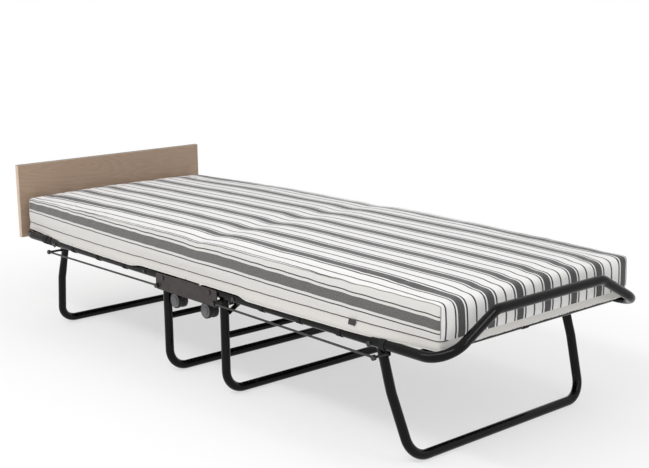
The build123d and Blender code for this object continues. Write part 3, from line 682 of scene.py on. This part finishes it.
def refined(piece):
    """The piece's mesh with one level of subdivision applied."""
    smooth = piece.modifiers.new("smooth", "SUBSURF")
    smooth.levels = smooth.render_levels = 1
    bpy.context.view_layer.update()
    fine = evaluated(piece)
    piece.modifiers.remove(smooth)
    return fine


def linked(name, mesh, materials):
    """A new object in the scene. The materials go in if its mesh has none."""
    piece = bpy.data.objects.new(name, mesh)
    scene.collection.objects.link(piece)
    if not mesh.materials:
        for material in materials:
            mesh.materials.append(material)
    return piece


def filled(mesh, shape):
    """The mesh with a bmesh written into it. The bmesh is freed."""
    shape.to_mesh(mesh)
    shape.free()
    return mesh


def half_of(mesh, side):
    """A copy of a mesh cut at the fold, keeping one side, with the cut closed by a flat wall."""
    shape = bmesh.new()
    shape.from_mesh(mesh)
    bmesh.ops.bisect_plane(
        shape,
        geom=shape.verts[:] + shape.edges[:] + shape.faces[:],
        plane_co=(0.0, 0.0, 0.0),
        plane_no=(side, 0.0, 0.0),
        clear_inner=True,
    )
    rim = [edge for edge in shape.edges if edge.is_boundary]
    for face in bmesh.ops.contextual_create(shape, geom=rim)["faces"]:
        face.smooth = False
        face.normal_update()
        if face.normal.x * side > 0.0:
            face.normal_flip()
    for edge in rim:
        edge.smooth = False
    out = bpy.data.meshes.new("half")
    for material in mesh.materials:
        out.materials.append(material)
    return filled(out, shape)


def blank_piece():
    """The whole mattress in its settled form, as one object."""
    mesh = bpy.data.meshes.new("mattress blank")
    piece = linked("mattress_blank", mesh, COVER_CLOTHS)
    filled(mesh, mattress_blank())
    marks = {name: mesh.attributes[name].data for name in MARKS}
    for vert in mesh.vertices:
        pulls = {name: data[vert.index].value for name, data in marks.items()}
        vert.co = soft_form(vert.co, pulls)
    cloth_settle(piece, CLOTH_FRAMES)
    return piece


blank = blank_piece()
whole = refined(blank)
covers = {}
for half, side in HALVES.items():
    covers[half] = linked(f"mattress_cover_{half}", half_of(whole, side), COVER_CLOTHS)


# Seam cords and the tag

SEAM_STOP = 0.006
POST_FOOT = 0.026
POST_HEAD = 0.002


def marked_points(mesh, name, hand):
    """Points of the cover on a marked seam, on one hand of the bed."""
    marks = mesh.attributes[name].data
    on_seam = [vert.co.copy() for vert in mesh.vertices if marks[vert.index].value > 0.98]
    return [at for at in on_seam if at.y * hand > 0.0]


def seam_path(mesh, name, hand, side):
    """A seam along one hand of a half, from the fold to its end.

    The top seam goes on down the corner to the zip.
    """
    run = [
        at for at in marked_points(mesh, name, hand)
        if -1e-6 <= at.x * side and abs(at.y) > half_width(at.x) - 0.03
    ]
    if name != "top_rim":
        limit = (FOOT_END if side > 0 else -HEAD_END) - SEAM_STOP
        run = [at for at in run if abs(at.x) < limit]
    run.sort(key=lambda at: abs(at.x))
    if name == "top_rim":
        low, high = UNDERSIDE + POST_FOOT, run[-1].z - POST_HEAD
        corner = [at for at in marked_points(mesh, "corner", hand) if at.x * side > 0.0]
        post = [at for at in corner if low < at.z < high]
        run += sorted(post, key=lambda at: -at.z)
    return run


def corded(name, points, radius):
    """A thin round cord through points, as a mesh."""
    curve = bpy.data.curves.new(name, "CURVE")
    curve.dimensions = "3D"
    curve.bevel_depth = radius
    curve.bevel_resolution = 2
    curve.use_fill_caps = True
    line = curve.splines.new("POLY")
    line.points.add(len(points) - 1)
    for point, at in zip(line.points, points):
        point.co = (*at, 1.0)
    drawn = bpy.data.objects.new(name, curve)
    scene.collection.objects.link(drawn)
    bpy.context.view_layer.update()
    mesh = evaluated(drawn)
    bpy.data.objects.remove(drawn)
    for polygon in mesh.polygons:
        polygon.use_smooth = True
    return mesh


# The top cord's grey is a painted shadow line along the top seam and down the corner; the cord
# itself is the seam's slight ridge.
SEAMS = {
    "top": ("top_rim", 0.0011, painted_seam_shadow),
    "zip": ("zip_row", 0.0013, thread_dark),
    "bottom": ("low_rim", 0.0016, piping_cotton),
}
soft_pieces = list(covers.items())
for half, side in HALVES.items():
    for hand, across in HANDS.items():
        for name, (mark, radius, finish) in SEAMS.items():
            path = seam_path(whole, mark, across, side)
            mesh = corded(f"{half} {hand} {name} seam", path, radius)
            seam = linked(f"mattress_seam_{name}_{half}_{hand}", mesh, [finish])
            soft_pieces.append((half, seam))

TAG_X = 0.68
TAG_ROW = 0.013
TAG_SIZE = (0.024, 0.0026, 0.014)


def plain_tag(x):
    """A small folded tag of black tape, sewn in at the zip on the near side, left bare."""
    row = UNDERSIDE + TAG_ROW
    face = [
        at for at in (vert.co for vert in whole.vertices)
        if abs(at.x - x) < 0.02 and abs(at.z - row) < 0.009 and at.y < -half_width(x) + 0.012
    ]
    face_y = sum(at.y for at in face) / len(face)
    shape = bmesh.new()
    bmesh.ops.create_cube(shape, size=1.0)
    bmesh.ops.scale(shape, vec=TAG_SIZE, verts=shape.verts)
    bmesh.ops.subdivide_edges(shape, edges=edges_along(shape, 2), cuts=4, use_grid_fill=True)
    bmesh.ops.bevel(
        shape,
        geom=shape.edges[:],
        offset=0.0006,
        segments=1,
        affect="EDGES",
        profile=0.5,
        material=-1,
    )
    for vert in shape.verts:
        drop = 0.5 - vert.co.z / TAG_SIZE[2]
        vert.co.y -= 0.0016 * drop * drop
        vert.co.x -= 0.002 * drop
    bmesh.ops.translate(shape, vec=(x, face_y - 0.0006, row + 0.0055), verts=shape.verts)
    tag = linked("mattress_plain_tag", filled(bpy.data.meshes.new("plain tag"), shape), [tag_cloth])
    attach(tag, "foot_frame")


plain_tag(TAG_X)
bpy.data.objects.remove(blank)

for half, piece in soft_pieces:
    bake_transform(piece)
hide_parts("mattress_head", "mattress_middle")
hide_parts("mattress_foot", "mattress_middle")


# Stage, light and camera

FLOOR_RADIUS = 14.0
FLOOR_STRETCH = (0.62, 1.0, 1.0)
FADE_FROM, FADE_TO = 0.75, 1.35
WHITE_UNDER_BED = 0.58


def seen_white(tree):
    """1 for rays that see the backdrop: from the camera, in a reflection or through glass."""
    path = add_node(tree, "ShaderNodeLightPath").outputs
    some = sums(tree, "ADD", path["Is Camera Ray"], path["Is Glossy Ray"])
    return sums(tree, "MINIMUM", sums(tree, "ADD", some, path["Is Transmission Ray"]), 1.0)


def floor_and_backdrop():
    """A white floor that keeps the bed's shadow and fades into the white backdrop."""
    shape = bmesh.new()
    bmesh.ops.create_circle(shape, cap_ends=True, segments=96, radius=FLOOR_RADIUS)
    mesh = filled(bpy.data.meshes.new("floor"), shape)
    material, tree, shader = new_material("pale floor")
    set_inputs(shader, Roughness=0.9, Specular_IOR_Level=0.1)
    grain = speckle(tree, object_place(tree), 3.0)
    wire(tree, mixed(tree, grain, grey(0.90), grey(0.92)), shader, "Base Color")
    away = add_node(
        tree, "ShaderNodeVectorMath", {0: object_place(tree, FLOOR_STRETCH)}, operation="LENGTH"
    ).outputs["Value"]
    fade = eased(tree, away, FADE_FROM, FADE_TO)
    veil = sums(tree, "MULTIPLY_ADD", fade, 1.0 - WHITE_UNDER_BED, WHITE_UNDER_BED)
    share = sums(tree, "MULTIPLY", veil, seen_white(tree))
    white = add_node(tree, "ShaderNodeEmission", {"Strength": 1.0}).outputs["Emission"]
    both = add_node(tree, "ShaderNodeMixShader", {0: share, 1: shader.outputs["BSDF"], 2: white})
    wire(tree, both.outputs["Shader"], tree.nodes["Material Output"], "Surface")
    linked("floor", mesh, [material])


floor_and_backdrop()

world = bpy.data.worlds.new("studio")
scene.world = world
world.use_nodes = True
sky = world.node_tree
backdrop = sky.nodes["Background"]
backdrop.inputs["Color"].default_value = (1.0, 1.0, 1.0, 1.0)
upward = axis_of(sky, add_node(sky, "ShaderNodeTexCoord").outputs["Generated"], "Z")
dome = eased(sky, upward, 0.2, 0.9, 0.50, 0.82)
wire(sky, sums(sky, "MAXIMUM", dome, seen_white(sky)), backdrop, "Strength")


def soft_box(name, place, target, size, power):
    """An area lamp of a size in metres and a power in watts, turned to its target."""
    lamp = bpy.data.lights.new(name, "AREA")
    lamp.shape = "RECTANGLE"
    lamp.size, lamp.size_y = size
    lamp.energy = power
    box = bpy.data.objects.new(name, lamp)
    box.location = place
    box.rotation_euler = (Vector(target) - Vector(place)).to_track_quat("-Z", "Y").to_euler()
    scene.collection.objects.link(box)


soft_box("front strip", (0.3, -2.0, 2.6), (0.0, 0.0, 0.3), (3.6, 0.25), 46.0)
soft_box("foot strip", (3.0, 0.2, 2.2), (0.4, 0.0, 0.3), (0.12, 2.6), 13.0)

SENSOR = 36.0
FOCAL_PIXELS = 1208.4
PICTURE_WIDTH = 649.0
CAMERA_AT = (2.7282, -2.2418, 1.1313)
YAW = math.radians(48.94)
PITCH = math.radians(11.96)
ROLL = math.radians(-0.67)

lens = bpy.data.cameras.new("camera")
lens.sensor_width = SENSOR
lens.lens = FOCAL_PIXELS / PICTURE_WIDTH * SENSOR
lens.clip_end = 100.0
camera = bpy.data.objects.new("camera", lens)
scene.collection.objects.link(camera)
scene.camera = camera
level = math.cos(PITCH)
ahead = Vector((-math.sin(YAW) * level, math.cos(YAW) * level, -math.sin(PITCH)))
right = ahead.cross(Vector((0.0, 0.0, 1.0))).normalized()
above = right.cross(ahead)
turned_right = right * math.cos(ROLL) + above * math.sin(ROLL)
turned_up = -right * math.sin(ROLL) + above * math.cos(ROLL)
rows = list(zip(turned_right, turned_up, -ahead, CAMERA_AT))
camera.matrix_world = Matrix(rows + [(0.0, 0.0, 0.0, 1.0)])
scene.view_settings.view_transform = "Standard"
